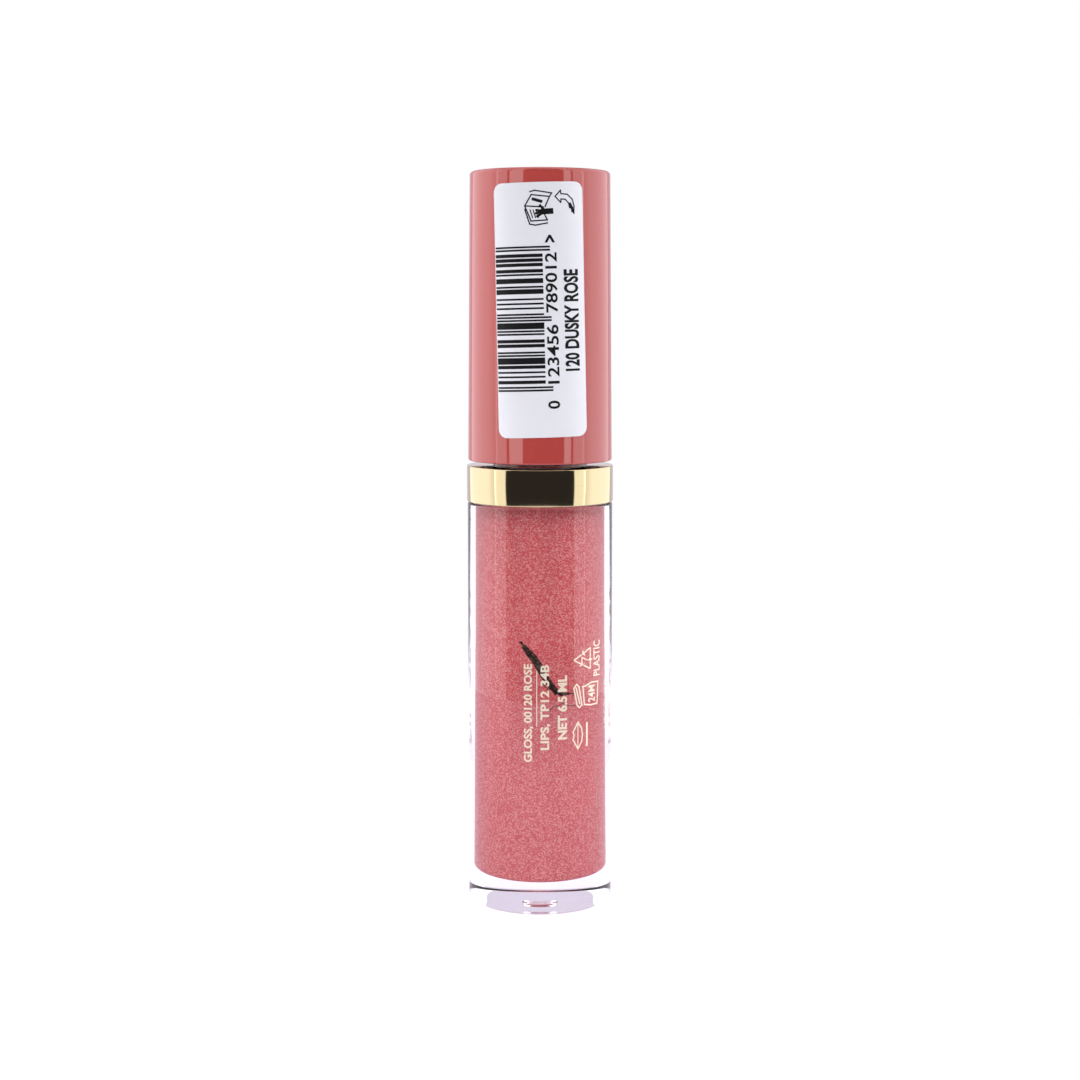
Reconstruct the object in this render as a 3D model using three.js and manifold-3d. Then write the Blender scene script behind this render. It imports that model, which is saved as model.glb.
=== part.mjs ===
// A lip gloss tube: a thick clear bottle with a screw neck, a gold collar, a tall cap with the
// applicator in it, and a peel-open label on the cap.
//
// Millimetres, +Z up. The origin is the centre of the bottle's base, and the label faces -Y.

import * as THREE from "three";
import { mergeVertices } from "three/addons/utils/BufferGeometryUtils.js";
import Module from "manifold-3d";

const wasm = await Module();
wasm.setup();

const AROUND = 64; // facets around every turned piece, the same on all so that their flats line up

// ---- Driving dimensions -------------------------------------------------------------------

// bottle
const BODY_R = 10.0;
const BODY_HEIGHT = 55.58; // base to shoulder
const BODY_WALL = 4.0; // clear wall around the gloss
const BASE_THICKNESS = 3.83; // clear plastic under the gloss
const BASE_EDGE = 0.45; // rounding at the foot
const SHOULDER_EDGE = 0.25; // bevel under the collar
const GATE_R = 1.6; // moulding gate's dimple under the base
const GATE_DEPTH = 0.5;
const CHAMBER_CORNER = 0.7; // rounding at the chamber's floor

// collar on the bottle's shoulder boss
const COLLAR_HEIGHT = 4.97;
const COLLAR_PROUD = 0.09; // stands out past the bottle
const COLLAR_WALL = 0.55;
const COLLAR_LIP = 0.5; // thickness of its inward top lip
const COLLAR_BEVEL = 0.15;
const COLLAR_SEAT = 0.15; // gap between the shoulder and the collar
const BEAD = 0.12; // snap bead on the boss
const BEAD_HEIGHT = 0.8;

// cap
const CAP_HEIGHT = 39.35;
const CAP_GAP = 0.68; // collar to cap
const CAP_INSET = 0.08; // cap's mouth inside the bottle's radius
const CAP_TAPER = 0.33; // how much narrower, on the radius, the cap is at the top
const CAP_WALL = 1.2;
const CAP_TOP = 1.5; // thickness of the closed end
const CAP_TOP_EDGE = 0.5;
const CAP_MOUTH_EDGE = 0.2;

// inner cap, threads and neck, worked inwards from the outer cap
const INSERT_RECESS = 0.4; // inner cap's mouth above the outer cap's
const INSERT_WALL = 0.85;
const INSERT_CEILING = 1.2;
const SOCKET_WALL = 1.4; // boss that grips the rod's head
const SOCKET_DEPTH = 6.0;
const RIB_COUNT = 4; // ribs in the outer cap that stop the inner cap turning
const RIB_WIDTH = 1.2;
const RIB_REACH = 0.45;
const RIB_HEIGHT = 8.0;
const THREAD_DEPTH = 0.45;
const THREAD_PITCH = 3.0;
const THREAD_TURNS = 1.25;
const NECK_HEIGHT = 12.3; // above the collar
const NECK_WALL = 1.7;
const NECK_THREAD_DROP = 2.6; // top thread end below the neck's rim
const FUNNEL_HEIGHT = 2.0; // chamber narrows to the neck's bore over this height

// seal, wiper and applicator
const LINER_THICKNESS = 1.0;
const WIPER_WALL = 0.9;
const WIPER_FLANGE = 0.8;
const WIPER_LENGTH = 11.0;
const WIPER_CONE = 3.0; // height of the narrowing at its lower end
const WIPER_EDGE = 0.5; // thickness at the wiping edge
const ROD_R = 1.9;
const ROD_HEAD_R = 2.9;
const ROD_HEAD_HEIGHT = 5.0;
const ROD_TAPER_HEIGHT = 1.5;
const TIP_R = 2.15;
const TIP_LENGTH = 15.0;
const TIP_SPIGOT_R = 1.2; // rod's end inside the tip
const TIP_SPIGOT = 5.0;
const TIP_SLANT = 16.0; // degrees, the doe-foot's face leans in by this much going down
const TIP_SLANT_HEIGHT = 6.5; // top of the slanted face above the tip's lower end
const TIP_FLOOR_GAP = 2.6; // tip to the chamber's floor
const FILL_HEADROOM = 1.2; // top of the gloss below the bore's start

// label on the cap
const LABEL_TOP_MARGIN = 2.0; // to the cap's top
const LABEL_MOUTH_MARGIN = 3.68; // to the cap's mouth
const LABEL_WIDTH = 11.67; // straight across
const LABEL_SHIFT = 0.06; // off centre, along X
const LABEL_CORNER = 1.2;
const CORNER_STEPS = 4; // facets round each of its corners
const LABEL_TILT = 1.18; // degrees, anticlockwise seen from the front
const PLY = 0.07; // thickness of each ply
const PLY_GAP = 0.02;

// clearances
const FIT = 0.05; // radial, for pieces pressed or snapped together
const RUNNING = 0.3; // radial, for what slides past what
const SEAT = 0.02; // between stacked flat faces
const THREAD_CLEAR = 0.12; // radial, between the two threads' crests

// ---- Sizes that follow --------------------------------------------------------------------

const chamberR = BODY_R - BODY_WALL;
const chamberFloor = BASE_THICKNESS;

const collarR = BODY_R + COLLAR_PROUD;
const collarZ = BODY_HEIGHT + COLLAR_SEAT;
const collarTop = collarZ + COLLAR_HEIGHT;
const bossR = collarR - COLLAR_WALL - FIT;
const bossTop = collarTop - COLLAR_LIP - FIT;

const capZ = collarTop + CAP_GAP;
const capTop = capZ + CAP_HEIGHT;
const capR = BODY_R - CAP_INSET;
const capBoreR = capR - CAP_TAPER - CAP_WALL;

const insertZ = capZ + INSERT_RECESS;
const insertR = capBoreR - FIT;
const femaleRootR = insertR - INSERT_WALL;
const femaleCrestR = femaleRootR - THREAD_DEPTH;

const maleCrestR = femaleCrestR - THREAD_CLEAR;
const neckR = maleCrestR - THREAD_DEPTH;
const neckTop = collarTop + NECK_HEIGHT;
const boreR = neckR - NECK_WALL;
const neckThreadZ = neckTop - NECK_THREAD_DROP - THREAD_PITCH * THREAD_TURNS;
const insertThreadZ = neckThreadZ - THREAD_PITCH / 2; // the cap's thread lies between the neck's turns

const wiperR = boreR - FIT;
const wiperBoreR = wiperR - WIPER_WALL;
const wiperTop = neckTop + SEAT + WIPER_FLANGE;
const wiperBottom = wiperTop - WIPER_FLANGE - WIPER_LENGTH;
const orificeR = TIP_R + RUNNING;

const linerZ = wiperTop + SEAT;
const linerTop = linerZ + LINER_THICKNESS;
const ceilingZ = linerTop + SEAT;
const insertTop = ceilingZ + INSERT_CEILING;
const socketR = ROD_HEAD_R + FIT + SOCKET_WALL;
const socketTop = insertTop + SOCKET_DEPTH;
const ribZ = insertTop + SEAT;

const headTop = ceilingZ + ROD_HEAD_HEIGHT;
const tipZ = chamberFloor + TIP_FLOOR_GAP;
const tipTop = tipZ + TIP_LENGTH;

const funnelTop = collarTop - COLLAR_LIP;
const funnelZ = funnelTop - FUNNEL_HEIGHT;
const fillTop = wiperBottom - FILL_HEADROOM;

const labelZ = capZ + LABEL_MOUTH_MARGIN;
const labelHeight = CAP_HEIGHT - LABEL_MOUTH_MARGIN - LABEL_TOP_MARGIN;

// ---- Making solids ------------------------------------------------------------------------

const point = (r, z) => new THREE.Vector2(r, z);

// Points of a quarter round about (r, z), from one angle to another in degrees.
function roundCorner(r, z, size, from, to, steps = 3) {
  const corner = [];
  for (let i = 0; i <= steps; i += 1) {
    const angle = THREE.MathUtils.degToRad(from + ((to - from) * i) / steps);
    corner.push(point(r + size * Math.cos(angle), z + size * Math.sin(angle)));
  }
  return corner;
}

// A solid turned about Z. The outline runs upwards on the outside.
function turned(outline) {
  return new THREE.LatheGeometry(outline, AROUND).rotateX(Math.PI / 2);
}

// The same for an outline that goes round the section of a ring.
function turnedRing(outline) {
  return turned([...outline, outline[0].clone()]);
}

// Only positions, with shared corners joined and triangles of no area left out.
function welded(geometry) {
  const bare = geometry.clone();
  bare.deleteAttribute("normal");
  bare.deleteAttribute("uv");
  const merged = mergeVertices(bare, 1e-4);
  const corners = merged.index.array;
  const kept = [];
  for (let i = 0; i < corners.length; i += 3) {
    const [a, b, c] = corners.slice(i, i + 3);
    if (a !== b && b !== c && c !== a) {
      kept.push(a, b, c);
    }
  }
  merged.setIndex(kept);
  return merged;
}

function toManifold(geometry) {
  const clean = welded(geometry);
  return new wasm.Manifold(
    new wasm.Mesh({
      numProp: 3,
      vertProperties: new Float32Array(clean.attributes.position.array),
      triVerts: new Uint32Array(clean.index.array),
    }),
  );
}

function toGeometry(manifold) {
  const mesh = manifold.getMesh();
  const geometry = new THREE.BufferGeometry();
  geometry.setAttribute("position", new THREE.BufferAttribute(mesh.vertProperties, 3));
  geometry.setIndex(new THREE.BufferAttribute(mesh.triVerts, 1));
  return geometry;
}

const joined = (a, ...others) =>
  toGeometry(others.reduce((sum, b) => sum.add(toManifold(b)), toManifold(a)));
const cut = (a, b) => toGeometry(toManifold(a).subtract(toManifold(b)));
const common = (a, b) => toGeometry(toManifold(a).intersect(toManifold(b)));

class Helix extends THREE.Curve {
  constructor(radius, z, pitch, turns) {
    super();
    Object.assign(this, { radius, z, pitch, turns });
  }

  getPoint(t) {
    const angle = 2 * Math.PI * this.turns * t;
    return new THREE.Vector3(
      this.radius * Math.cos(angle),
      this.radius * Math.sin(angle),
      this.z + this.pitch * this.turns * t,
    );
  }
}

// A round bead wound along a helix, centred on a wall so that half of it stands out as the thread.
function threadBead(wallR, z) {
  const section = new THREE.Shape();
  const sides = 8;
  for (let i = 0; i < sides; i += 1) {
    const angle = (2 * Math.PI * i) / sides;
    const x = THREAD_DEPTH * Math.cos(angle);
    const y = THREAD_DEPTH * Math.sin(angle);
    if (i === 0) section.moveTo(x, y);
    else section.lineTo(x, y);
  }
  return new THREE.ExtrudeGeometry(section, {
    steps: Math.round(28 * THREAD_TURNS),
    extrudePath: new Helix(wallR, z, THREAD_PITCH, THREAD_TURNS),
  });
}

function box(width, depth, height, x, y, z) {
  return new THREE.BoxGeometry(width, depth, height).translate(x, y, z + height / 2);
}

function named(name, geometry, color, roughness, metalness = 0) {
  const material = new THREE.MeshStandardMaterial({ color, roughness, metalness });
  const mesh = new THREE.Mesh(geometry, material);
  mesh.name = name;
  return mesh;
}

// ---- Bottle and what stays on it ----------------------------------------------------------

function bottle() {
  const beadZ = collarZ + (COLLAR_HEIGHT - COLLAR_LIP) / 2;
  const body = turned([
    point(0, GATE_DEPTH),
    point(GATE_R, GATE_DEPTH),
    point(GATE_R, 0),
    ...roundCorner(BODY_R - BASE_EDGE, BASE_EDGE, BASE_EDGE, -90, 0),
    point(BODY_R, BODY_HEIGHT - SHOULDER_EDGE),
    point(BODY_R - SHOULDER_EDGE, BODY_HEIGHT),
    point(bossR, BODY_HEIGHT),
    point(bossR, beadZ - BEAD_HEIGHT / 2),
    point(bossR + BEAD, beadZ),
    point(bossR, beadZ + BEAD_HEIGHT / 2),
    point(bossR, bossTop),
    point(neckR, bossTop),
    point(neckR, neckTop),
    point(boreR, neckTop),
    point(boreR, funnelTop),
    point(chamberR, funnelZ),
    ...roundCorner(chamberR - CHAMBER_CORNER, chamberFloor + CHAMBER_CORNER, CHAMBER_CORNER, 0, -90),
    point(0, chamberFloor),
  ]);
  return named("bottle", joined(body, threadBead(neckR, neckThreadZ)), "#e9e6ea", 0.05);
}

function collar() {
  const innerR = bossR + FIT;
  const grooveZ = collarZ + (COLLAR_HEIGHT - COLLAR_LIP) / 2;
  const grooveHalf = BEAD_HEIGHT / 2 + FIT;
  const ring = turnedRing([
    point(innerR, collarZ),
    point(collarR - COLLAR_BEVEL, collarZ),
    point(collarR, collarZ + COLLAR_BEVEL),
    point(collarR, collarTop - COLLAR_BEVEL),
    point(collarR - COLLAR_BEVEL, collarTop),
    point(neckR + FIT, collarTop),
    point(neckR + FIT, collarTop - COLLAR_LIP),
    point(innerR, collarTop - COLLAR_LIP),
    point(innerR, grooveZ + grooveHalf),
    point(innerR + BEAD + FIT, grooveZ),
    point(innerR, grooveZ - grooveHalf),
  ]);
  return named("collar", ring, "#e8cf9a", 0.18, 1);
}

function wiper() {
  const flangeR = neckR - FIT;
  const plug = turnedRing([
    point(orificeR, wiperBottom),
    point(orificeR + WIPER_EDGE, wiperBottom),
    point(wiperR, wiperBottom + WIPER_CONE),
    point(wiperR, neckTop + SEAT),
    point(flangeR, neckTop + SEAT),
    point(flangeR, wiperTop),
    point(wiperBoreR, wiperTop),
    point(wiperBoreR, wiperBottom + WIPER_CONE),
  ]);
  return named("wiper", plug, "#f2efe9", 0.5);
}

// The gloss, with the channel that the rod and the tip stand in left open to the top.
function glossFill() {
  const sideR = chamberR - FIT;
  const floor = chamberFloor + FIT;
  const channelR = TIP_R + RUNNING;
  const neckFillR = boreR - FIT;
  const fill = turned([
    point(0, floor),
    ...roundCorner(sideR - CHAMBER_CORNER, floor + CHAMBER_CORNER, CHAMBER_CORNER, -90, 0),
    point(sideR, funnelZ - FIT),
    point(neckFillR, Math.min(funnelTop, fillTop) - FIT),
    point(neckFillR, fillTop),
    point(channelR, fillTop),
    point(channelR, tipZ - RUNNING),
    point(0, tipZ - RUNNING),
  ]);
  return named("gloss_fill", fill, "#cf6a70", 0.25);
}

// ---- Cap and what moves with it -----------------------------------------------------------

function outerCap() {
  const ceiling = capTop - CAP_TOP;
  const topR = capR - CAP_TAPER;
  const shell = turned([
    point(0, ceiling),
    point(capBoreR, ceiling),
    point(capBoreR, capZ),
    ...roundCorner(capR - CAP_MOUTH_EDGE, capZ + CAP_MOUTH_EDGE, CAP_MOUTH_EDGE, -90, 0),
    ...roundCorner(topR - CAP_TOP_EDGE, capTop - CAP_TOP_EDGE, CAP_TOP_EDGE, 0, 90),
    point(0, capTop),
  ]);
  const ribs = [];
  for (let i = 0; i < RIB_COUNT; i += 1) {
    const reach = RIB_REACH + CAP_WALL / 2;
    const rib = box(reach, RIB_WIDTH, RIB_HEIGHT, capBoreR - RIB_REACH + reach / 2, 0, ribZ);
    ribs.push(rib.rotateZ((2 * Math.PI * (i + 0.5)) / RIB_COUNT));
  }
  return named("outer_cap", joined(shell, ...ribs), "#b8474a", 0.12);
}

function innerCap() {
  const body = turned([
    point(0, headTop + FIT),
    point(ROD_HEAD_R + FIT, headTop + FIT),
    point(ROD_HEAD_R + FIT, ceilingZ),
    point(femaleRootR, ceilingZ),
    point(femaleRootR, insertZ),
    point(insertR, insertZ),
    point(insertR, insertTop),
    point(socketR, insertTop),
    point(socketR, socketTop),
    point(0, socketTop),
  ]);
  return named("inner_cap", joined(body, threadBead(femaleRootR, insertThreadZ)), "#f4f1ee", 0.4);
}

function capLiner() {
  const washer = turnedRing([
    point(wiperBoreR, linerZ),
    point(neckR - FIT, linerZ),
    point(neckR - FIT, linerTop),
    point(wiperBoreR, linerTop),
  ]);
  return named("cap_liner", washer, "#fbfbf8", 0.7);
}

function applicatorRod() {
  const headBottom = headTop - ROD_HEAD_HEIGHT;
  const stem = turned([
    point(0, tipTop - TIP_SPIGOT),
    point(TIP_SPIGOT_R, tipTop - TIP_SPIGOT),
    point(TIP_SPIGOT_R, tipTop + FIT),
    point(ROD_R, tipTop + FIT),
    point(ROD_R, headBottom - ROD_TAPER_HEIGHT),
    point(ROD_HEAD_R, headBottom),
    point(ROD_HEAD_R, headTop),
    point(0, headTop),
  ]);
  return named("applicator_rod", stem, "#f6f4f2", 0.35);
}

// The doe-foot: a round-ended cylinder with a slanted face, hollow at the top for the rod's spigot.
function applicatorTip() {
  const socket = TIP_SPIGOT_R + FIT;
  const finger = turned([
    ...roundCorner(0, tipZ + TIP_R, TIP_R, -90, 0, 6),
    point(TIP_R, tipTop - FIT * 2),
    point(TIP_R - FIT * 2, tipTop),
    point(socket, tipTop),
    point(socket, tipTop - TIP_SPIGOT - FIT),
    point(0, tipTop - TIP_SPIGOT - FIT),
  ]);
  const knife = box(TIP_R * 4, TIP_R * 4, TIP_LENGTH * 2, 0, -TIP_R * 2, -TIP_LENGTH)
    .rotateX(THREE.MathUtils.degToRad(TIP_SLANT))
    .translate(0, -TIP_R, tipZ + TIP_SLANT_HEIGHT);
  return named("applicator_tip", cut(finger, knife), "#d9a6a4", 0.95);
}

// One ply of the label: a thin skin that follows the cap's taper, trimmed to a rounded rectangle.
function labelPly(name, inset, color) {
  const taperAt = (z) => CAP_TAPER * ((z - capZ) / CAP_HEIGHT);
  const skin = (from, z) => point(capR - taperAt(z) + from, z);
  const near = SEAT + inset;
  const ring = turnedRing([
    skin(near, capZ),
    skin(near + PLY, capZ),
    skin(near + PLY, capTop),
    skin(near, capTop),
  ]);
  const outline = roundedRectangle(LABEL_WIDTH, labelHeight, LABEL_CORNER);
  const reach = { depth: BODY_R * 2, bevelEnabled: false, curveSegments: CORNER_STEPS };
  const prism = new THREE.ExtrudeGeometry(outline, reach)
    .rotateZ(THREE.MathUtils.degToRad(LABEL_TILT))
    .rotateX(Math.PI / 2)
    .translate(LABEL_SHIFT, 0, labelZ + labelHeight / 2);
  return named(name, common(ring, prism), color, 0.35);
}

function roundedRectangle(width, height, corner) {
  const x = width / 2;
  const y = height / 2;
  const shape = new THREE.Shape();
  shape.moveTo(-x + corner, -y);
  shape.lineTo(x - corner, -y);
  shape.absarc(x - corner, -y + corner, corner, -Math.PI / 2, 0);
  shape.lineTo(x, y - corner);
  shape.absarc(x - corner, y - corner, corner, 0, Math.PI / 2);
  shape.lineTo(-x + corner, y);
  shape.absarc(-x + corner, y - corner, corner, Math.PI / 2, Math.PI);
  shape.lineTo(-x, -y + corner);
  shape.absarc(-x + corner, -y + corner, corner, Math.PI, 1.5 * Math.PI);
  return shape;
}

// ---- The tube -----------------------------------------------------------------------------

const tube = new THREE.Group();
tube.add(
  bottle(),
  collar(),
  wiper(),
  glossFill(),
  outerCap(),
  innerCap(),
  capLiner(),
  applicatorRod(),
  applicatorTip(),
  labelPly("label_base", 0, "#f3f4f8"),
  labelPly("label_leaf", PLY + PLY_GAP, "#fbfbff"),
);

export default tube;
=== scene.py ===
import math
import random

import bmesh
import bpy
from mathutils import Euler, Matrix, Vector


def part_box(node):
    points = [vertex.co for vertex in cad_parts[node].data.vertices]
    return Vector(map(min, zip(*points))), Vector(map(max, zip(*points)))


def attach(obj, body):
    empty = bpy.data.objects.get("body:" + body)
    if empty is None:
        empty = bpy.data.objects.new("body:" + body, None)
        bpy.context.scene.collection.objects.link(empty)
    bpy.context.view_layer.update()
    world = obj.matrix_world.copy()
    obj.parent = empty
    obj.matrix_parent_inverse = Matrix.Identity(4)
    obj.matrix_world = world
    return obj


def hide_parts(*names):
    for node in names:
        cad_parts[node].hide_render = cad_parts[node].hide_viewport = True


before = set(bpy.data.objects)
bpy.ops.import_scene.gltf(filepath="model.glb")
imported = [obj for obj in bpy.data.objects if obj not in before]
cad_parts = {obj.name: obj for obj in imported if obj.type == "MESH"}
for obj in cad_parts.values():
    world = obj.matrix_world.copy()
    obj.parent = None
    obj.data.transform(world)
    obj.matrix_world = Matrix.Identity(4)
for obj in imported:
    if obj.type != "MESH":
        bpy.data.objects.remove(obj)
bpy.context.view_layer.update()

bl_info = {
    "name": "Lip Gloss Tube",
    "version": (1, 0, 0),
    "blender": (4, 5, 0),
    "location": "3D View > Sidebar > Lip Gloss",
    "description": "Models the looks of a lip gloss tube on its packed frame",
    "category": "Object",
}

MM = 0.001
AROUND = 160  # steps around every turned piece
HAIR = 0.01 * MM  # how far print stands off what it is printed on
FIT = 0.05 * MM  # between pieces pressed together
SEAT = 0.02 * MM  # between stacked flat faces
ROW = 0.1 * MM  # between the rows of points that a thread is raised in
COLLAR_SEAT = 0.15 * MM  # between the bottle's shoulder and the collar
TIP_ROOM = 0.3 * MM  # gloss-free room under the tip

LINEAR_CUT = 0.04045  # where the sRGB curve turns from straight to a power

# EAN-13 patterns of the ten digits for the left half; the right half is their opposite
LEFT_DIGITS = (
    "0001101", "0011001", "0010011", "0111101", "0100011",
    "0110001", "0101111", "0111011", "0110111", "0001011",
)


# ---- Places taken from the frame -----------------------------------------------------------


def foot_of(node):
    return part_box(node)[0].z


def top_of(node):
    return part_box(node)[1].z


def radius_of(node):
    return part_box(node)[1].x


def middle_of(node):
    low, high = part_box(node)
    return (low + high) / 2


# ---- Sizes and colours a user would change -------------------------------------------------


def length(name, description, value):
    return bpy.props.FloatProperty(
        name=name, description=description, default=value, min=0.0, precision=5, unit="LENGTH"
    )


def colour(name, description, value):
    return bpy.props.StringProperty(name=name, description=description, default=value)


class BottleSizes(bpy.types.PropertyGroup):
    """Sizes of the bottle and of what is fixed in it."""

    wall: length("Wall", "Clear plastic around the gloss", 4.0 * MM)
    floor: length("Floor", "Clear plastic under the gloss", foot_of("gloss_fill") - FIT)
    foot_edge: length("Foot edge", "Rounding at the foot", 0.45 * MM)
    shoulder_edge: length("Shoulder edge", "Bevel under the collar", 0.25 * MM)
    floor_corner: length("Floor corner", "Rounding at the chamber's floor", 0.7 * MM)
    gate_radius: length("Gate radius", "Moulding gate's dimple", 1.6 * MM)
    gate_depth: length("Gate depth", "Moulding gate's dimple", 0.5 * MM)
    neck_wall: length("Neck wall", "Thickness of the neck", 1.7 * MM)
    funnel: length("Funnel", "Height of the chamber's narrowing", 2.0 * MM)
    collar_wall: length("Collar wall", "Thickness of the collar", 0.55 * MM)
    collar_lip: length("Collar lip", "Thickness of the collar's top", 0.5 * MM)
    collar_edge: length("Collar edge", "Bevel of the collar", 0.15 * MM)
    wiper_wall: length("Wiper wall", "Thickness of the wiper", 0.9 * MM)
    wiper_flange: length("Wiper flange", "Thickness of its flange", 0.8 * MM)
    wiper_cone: length("Wiper cone", "Height of its narrow end", 3.0 * MM)
    wiper_orifice: length("Wiper orifice", "Radius the rod passes through", 2.45 * MM)
    wiper_edge: length("Wiper edge", "Thickness at the wiping edge", 0.5 * MM)


class CapSizes(bpy.types.PropertyGroup):
    """Sizes of the cap and of what is carried in it."""

    taper: length("Taper", "How much narrower the cap's radius is at the top", 0.33 * MM)
    wall: length("Wall", "Thickness of the cap's side", 1.2 * MM)
    roof: length("Roof", "Thickness of the cap's top", 1.5 * MM)
    top_edge: length("Top edge", "Rounding at the top", 0.5 * MM)
    mouth_edge: length("Mouth edge", "Rounding at the mouth", 0.2 * MM)
    insert_wall: length("Inner cap wall", "Thickness of the threaded inner cap", 0.85 * MM)
    insert_ceiling: length("Inner cap ceiling", "Its thickness over the seal", 1.2 * MM)
    socket_depth: length("Socket depth", "Height of the rod's socket", 6.0 * MM)
    socket_wall: length("Socket wall", "Thickness of the rod's socket", 1.4 * MM)
    thread_depth: length("Thread depth", "Height of both threads", 0.45 * MM)
    thread_pitch: length("Thread pitch", "Rise of both threads in one turn", 3.0 * MM)
    thread_drop: length("Thread drop", "Top of the neck's thread below the rim", 2.6 * MM)
    thread_clearance: length("Thread clearance", "Between the two threads' crests", 0.12 * MM)
    rod_radius: length("Rod radius", "Radius of the applicator's rod", 1.9 * MM)
    rod_head_radius: length("Rod head radius", "Radius of the rod's head", 2.9 * MM)
    rod_head: length("Rod head", "Height of the rod's head", 5.0 * MM)
    tip_radius: length("Tip radius", "Radius of the flocked tip", 2.15 * MM)
    fibre: length("Fibre", "Length of a fibre of the flock", 0.18 * MM)
    thread_turns: bpy.props.FloatProperty(
        name="Thread turns", description="Turns of both threads", default=1.25, min=0.25
    )
    fibres: bpy.props.IntProperty(
        name="Fibres", description="Fibres of the flock that are drawn", default=1500, min=0
    )


class LabelSizes(bpy.types.PropertyGroup):
    """Sizes of the peel-open label and its print."""

    width: length("Width", "Measured around the cap", 12.5 * MM)
    height: length("Height", "Along the cap", 33.67 * MM)
    corner: length("Corner", "Rounding of the corners", 1.2 * MM)
    ply: length("Ply", "Thickness of each ply", 0.07 * MM)
    shift: length("Shift", "To the right of the cap's front line", 0.07 * MM)
    tilt: bpy.props.FloatProperty(
        name="Tilt",
        description="How far it was stuck on askew, anticlockwise",
        default=math.radians(1.45),
        subtype="ANGLE",
    )
    digits: bpy.props.StringProperty(
        name="Digits", description="Number in the bar code", default="0123456789012"
    )
    shade: bpy.props.StringProperty(
        name="Shade", description="Bold line beside the bar code", default="120 DUSKY ROSE"
    )


class TubeColours(bpy.types.PropertyGroup):
    """Colours of the tube, as sRGB hex values."""

    cap: colour("Cap", "Lacquer of the cap", "#AB433E")
    gloss: colour("Gloss", "The lip gloss", "#D36164")
    gloss_deep: colour("Deep gloss", "The gloss in its darker swirls", "#CA5458")
    flake: colour("Flake", "Pearl flakes in the gloss", "#E29590")
    acrylic: colour("Acrylic", "Clear plastic of the bottle", "#F6F3FB")
    gold: colour("Gold", "Anodised collar", "#CFBF98")
    foil: colour("Foil", "Hot-stamped print on the bottle", "#FFF0D8")
    plastic: colour("Plastic", "Inner cap and rod", "#F1EEE9")
    label: colour("Label", "Label film", "#F6F7FC")
    ink: colour("Ink", "Print on the label", "#09090B")


def sizes(group):
    return getattr(bpy.context.scene, "lip_gloss_" + group)


def linear(text):
    """An sRGB hex colour as linear RGBA."""
    channels = [int(text[i:i + 2], 16) / 255 for i in (1, 3, 5)]
    return (
        *(c / 12.92 if c <= LINEAR_CUT else ((c + 0.055) / 1.055) ** 2.4 for c in channels),
        1.0,
    )


# ---- Shaping -------------------------------------------------------------------------------


def steps_up(radius, low, high, step):
    """Points straight up a wall, close enough together for a thread to be raised in it."""
    count = max(1, round((high - low) / step))
    return [(radius, low + (high - low) * i / count) for i in range(count + 1)]


def turned(outline, closed=False):
    """A bmesh of the outline, given as (radius, height) points, spun about the Z axis."""
    bm = bmesh.new()
    points = [bm.verts.new((r, 0, z)) for r, z in outline]
    edges = [bm.edges.new(pair) for pair in zip(points, points[1:])]
    if closed:
        edges.append(bm.edges.new((points[-1], points[0])))
    bmesh.ops.spin(
        bm, geom=points + edges, cent=(0, 0, 0), axis=(0, 0, 1),
        angle=2 * math.pi, steps=AROUND, use_merge=True,
    )
    bmesh.ops.remove_doubles(bm, verts=bm.verts, dist=1e-7)
    bmesh.ops.recalc_face_normals(bm, faces=bm.faces)
    return bm


def round_rim(bm, radius, height, size, segments=4):
    """Rounds the ring of edges at that radius and height."""

    def on_rim(vert):
        away = abs(math.hypot(vert.co.x, vert.co.y) - radius)
        return away < 1e-6 and abs(vert.co.z - height) < 1e-6

    rim = [edge for edge in bm.edges if all(on_rim(vert) for vert in edge.verts)]
    if not rim:
        raise RuntimeError(f"no rim at radius {radius} and height {height}")
    bmesh.ops.bevel(
        bm, geom=rim, offset=size, offset_type="OFFSET", segments=segments,
        profile=0.5, affect="EDGES", material=-1,
    )


def raise_thread(bm, wall, bottom, cap, outward):
    """Pushes a right-handed round thread out of the wall of that radius, with faded ends."""
    fade = 0.06  # of a turn
    for vert in bm.verts:
        radius = math.hypot(vert.co.x, vert.co.y)
        if abs(radius - wall) > 1e-6:
            continue
        part_turn = (math.atan2(vert.co.y, vert.co.x) / (2 * math.pi)) % 1
        turn = part_turn + round((vert.co.z - bottom) / cap.thread_pitch - part_turn)
        if turn < 0 or turn > cap.thread_turns:
            continue
        away = (vert.co.z - bottom - cap.thread_pitch * turn) / cap.thread_depth
        if abs(away) >= 1:
            continue
        ends = min(1, turn / fade, (cap.thread_turns - turn) / fade)
        rise = cap.thread_depth * math.sqrt(1 - away * away) * ends
        vert.co.xy *= (radius + outward * rise) / radius


def stamp(target, source, matrix=None):
    """Adds a copy of source to target."""
    mesh = bpy.data.meshes.new("stamp")
    source.to_mesh(mesh)
    if matrix is not None:
        mesh.transform(matrix)
    target.from_mesh(mesh)
    bpy.data.meshes.remove(mesh)


def finished(bm, name, material, body, stands_for=()):
    """Turns the bmesh into a piece that rides on a body and takes the place of CAD nodes."""
    mesh = bpy.data.meshes.new(name)
    bm.to_mesh(mesh)
    bm.free()
    mesh.shade_smooth()
    mesh.set_sharp_from_angle(angle=math.radians(35))
    mesh.materials.append(material)
    piece = bpy.data.objects.new(name, mesh)
    bpy.context.scene.collection.objects.link(piece)
    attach(piece, body)
    if stands_for:
        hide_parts(*stands_for)
    return piece


# ---- Flat work that is wrapped round the tube ----------------------------------------------
#
# It is drawn with X round the tube, Z up it and Y into it, then bent by wrap().


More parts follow.
